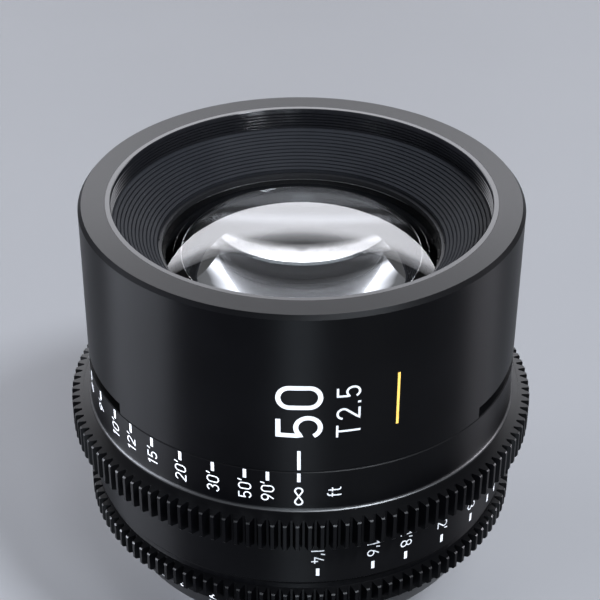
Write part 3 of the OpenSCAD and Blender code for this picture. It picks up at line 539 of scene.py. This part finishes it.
# Stops: text and its angle on the iris ring
STOPS = [("2.5", 0.0), ("2.8", 6.0), ("4", 15.0), ("5.6", 24.0), ("8", 33.0), ("11", 42.0),
         ("16", 51.0), ("22", 60.0)]
IRIS_R = 45.5
IRIS_LOW_R = 41.58
TAPER_TOP = 16.5
TAPER_LOW = 9.4
STOP_TICK = (18.2, 19.4)
STOP_TICK_W = 0.6
STOP_TOP = 17.8
STOP_CAP = 2.4
STOP_STRETCH = 0.9
STOP_BOLD = 0.11
iris_marks = Marks(IRIS_R, (IRIS_R - IRIS_LOW_R) / (TAPER_TOP - TAPER_LOW), TAPER_TOP)
for text, angle in STOPS:
    iris_marks.line(-angle, *STOP_TICK, STOP_TICK_W)
    begin = STOP_TOP - length_of(text, STOP_CAP, STOP_STRETCH)
    iris_marks.words(text, -angle, begin, STOP_CAP, True, STOP_STRETCH, STOP_BOLD)
iris_marks.finish("iris_scale_marks", MARK_WHITE, "iris_unit")

IRIS_INDEX_R = 40.5
iris_index = Marks(IRIS_INDEX_R)
iris_index.line(angle=0.0, low=8.3, high=8.9, width=STOP_TICK_W)
iris_index.finish("iris_index_mark", MARK_WHITE, "fixed_barrel")


# Floor, lights and surroundings

FLOOR_Z = cad_box[0][2]
FLOOR_R = 4.0
FLOOR_SIDES = 96
FLOOR_LOW = rgb(0.165, 0.165, 0.17)
FLOOR_HIGH = rgb(0.18, 0.18, 0.185)


def make_floor():
    work = bmesh.new()
    bmesh.ops.create_circle(work, cap_ends=True, radius=FLOOR_R, segments=FLOOR_SIDES)
    data = bpy.data.meshes.new("floor")
    work.to_mesh(data)
    work.free()
    s = Shade("pale_floor")
    s.set(roughness=0.6, specular_ior_level=0.2)
    cloud = s.noise(scale=3.0, detail=4.0)
    s.link(s.ramp(cloud, [(0.3, FLOOR_LOW), (0.75, FLOOR_HIGH)]), s.bsdf.inputs["Base Color"])
    data.materials.append(s.material)
    floor = bpy.data.objects.new("floor", data)
    floor.location = (0.0, 0.0, FLOOR_Z)
    scene.collection.objects.link(floor)


def fade(data, stops):
    """Sets how bright an area light is along its height."""
    data.use_nodes = True
    tree = data.node_tree
    place = tree.nodes.new("ShaderNodeNewGeometry")
    split = tree.nodes.new("ShaderNodeSeparateXYZ")
    ramp = tree.nodes.new("ShaderNodeValToRGB")
    fill_ramp(ramp, stops)
    tree.links.new(place.outputs["Parametric"], split.inputs["Vector"])
    tree.links.new(split.outputs["Y"], ramp.inputs["Fac"])
    tree.links.new(ramp.outputs["Color"], tree.nodes["Emission"].inputs["Color"])


def soft_light(name, place, target, width, height, power, colour, stops=None):
    data = bpy.data.lights.new(name, "AREA")
    data.shape = "RECTANGLE"
    data.size = width
    data.size_y = height
    data.energy = power
    data.color = colour
    if stops:
        fade(data, stops)
    light = bpy.data.objects.new(name, data)
    light.location = place
    way = Vector(target) - Vector(place)
    light.rotation_euler = way.to_track_quat("-Z", "Y").to_euler()
    scene.collection.objects.link(light)


make_floor()
LENS_MIDDLE = (0.0, 0.0, 0.084)
SKY_COLOUR = (0.86, 0.90, 1.0)
KEY_COLOUR = (0.86, 0.92, 1.0)
soft_light("back_softbox", (0.0, 1.5, 0.92), (0.0, 0.0, 0.92), width=3.6, height=0.96, power=85.0,
           colour=(0.93, 0.94, 1.0),
           stops=[(0.0, 0.55), (0.3, 0.7), (0.6, 0.9), (0.7, 0.8), (0.8, 0.4), (1.0, 0.08)])
soft_light("top_softbox", (0.0, 0.185, 1.5), (0.0, 0.185, 0.0), width=4.4, height=2.0, power=60.0,
           colour=SKY_COLOUR,
           stops=[(0.0, 0.3), (0.3, 0.5), (0.42, 0.6), (0.48, 0.12), (0.58, 0.08), (0.63, 0.6),
                  (0.70, 0.9), (0.76, 0.3), (0.8, 0.04), (1.0, 0.02)])
soft_light("left_strip", (-1.08, -0.17, 0.079), LENS_MIDDLE, width=0.75, height=0.15, power=46.0,
           colour=SKY_COLOUR)
soft_light("right_strip", (1.08, 0.10, 0.079), LENS_MIDDLE, width=0.4, height=0.15, power=13.0,
           colour=(0.93, 0.92, 1.0))
soft_light("front_key", (0.0, -1.3, 0.25), LENS_MIDDLE, width=0.35, height=0.4, power=20.0,
           colour=(0.80, 0.90, 1.0))
soft_light("high_key", (0.20, -0.72, 1.15), LENS_MIDDLE, width=0.25, height=0.25, power=8.0,
           colour=KEY_COLOUR)
soft_light("side_key", (0.52, -0.52, 1.15), LENS_MIDDLE, width=0.2, height=0.2, power=24.0,
           colour=KEY_COLOUR)

WORLD_COLOUR = rgb(0.75, 0.77, 0.80)
WORLD_STRENGTH = 0.10
world = bpy.data.worlds.new("surroundings")
world.use_nodes = True
world.node_tree.nodes["Background"].inputs["Color"].default_value = WORLD_COLOUR
world.node_tree.nodes["Background"].inputs["Strength"].default_value = WORLD_STRENGTH
scene.world = world
scene.view_settings.view_transform = "Standard"
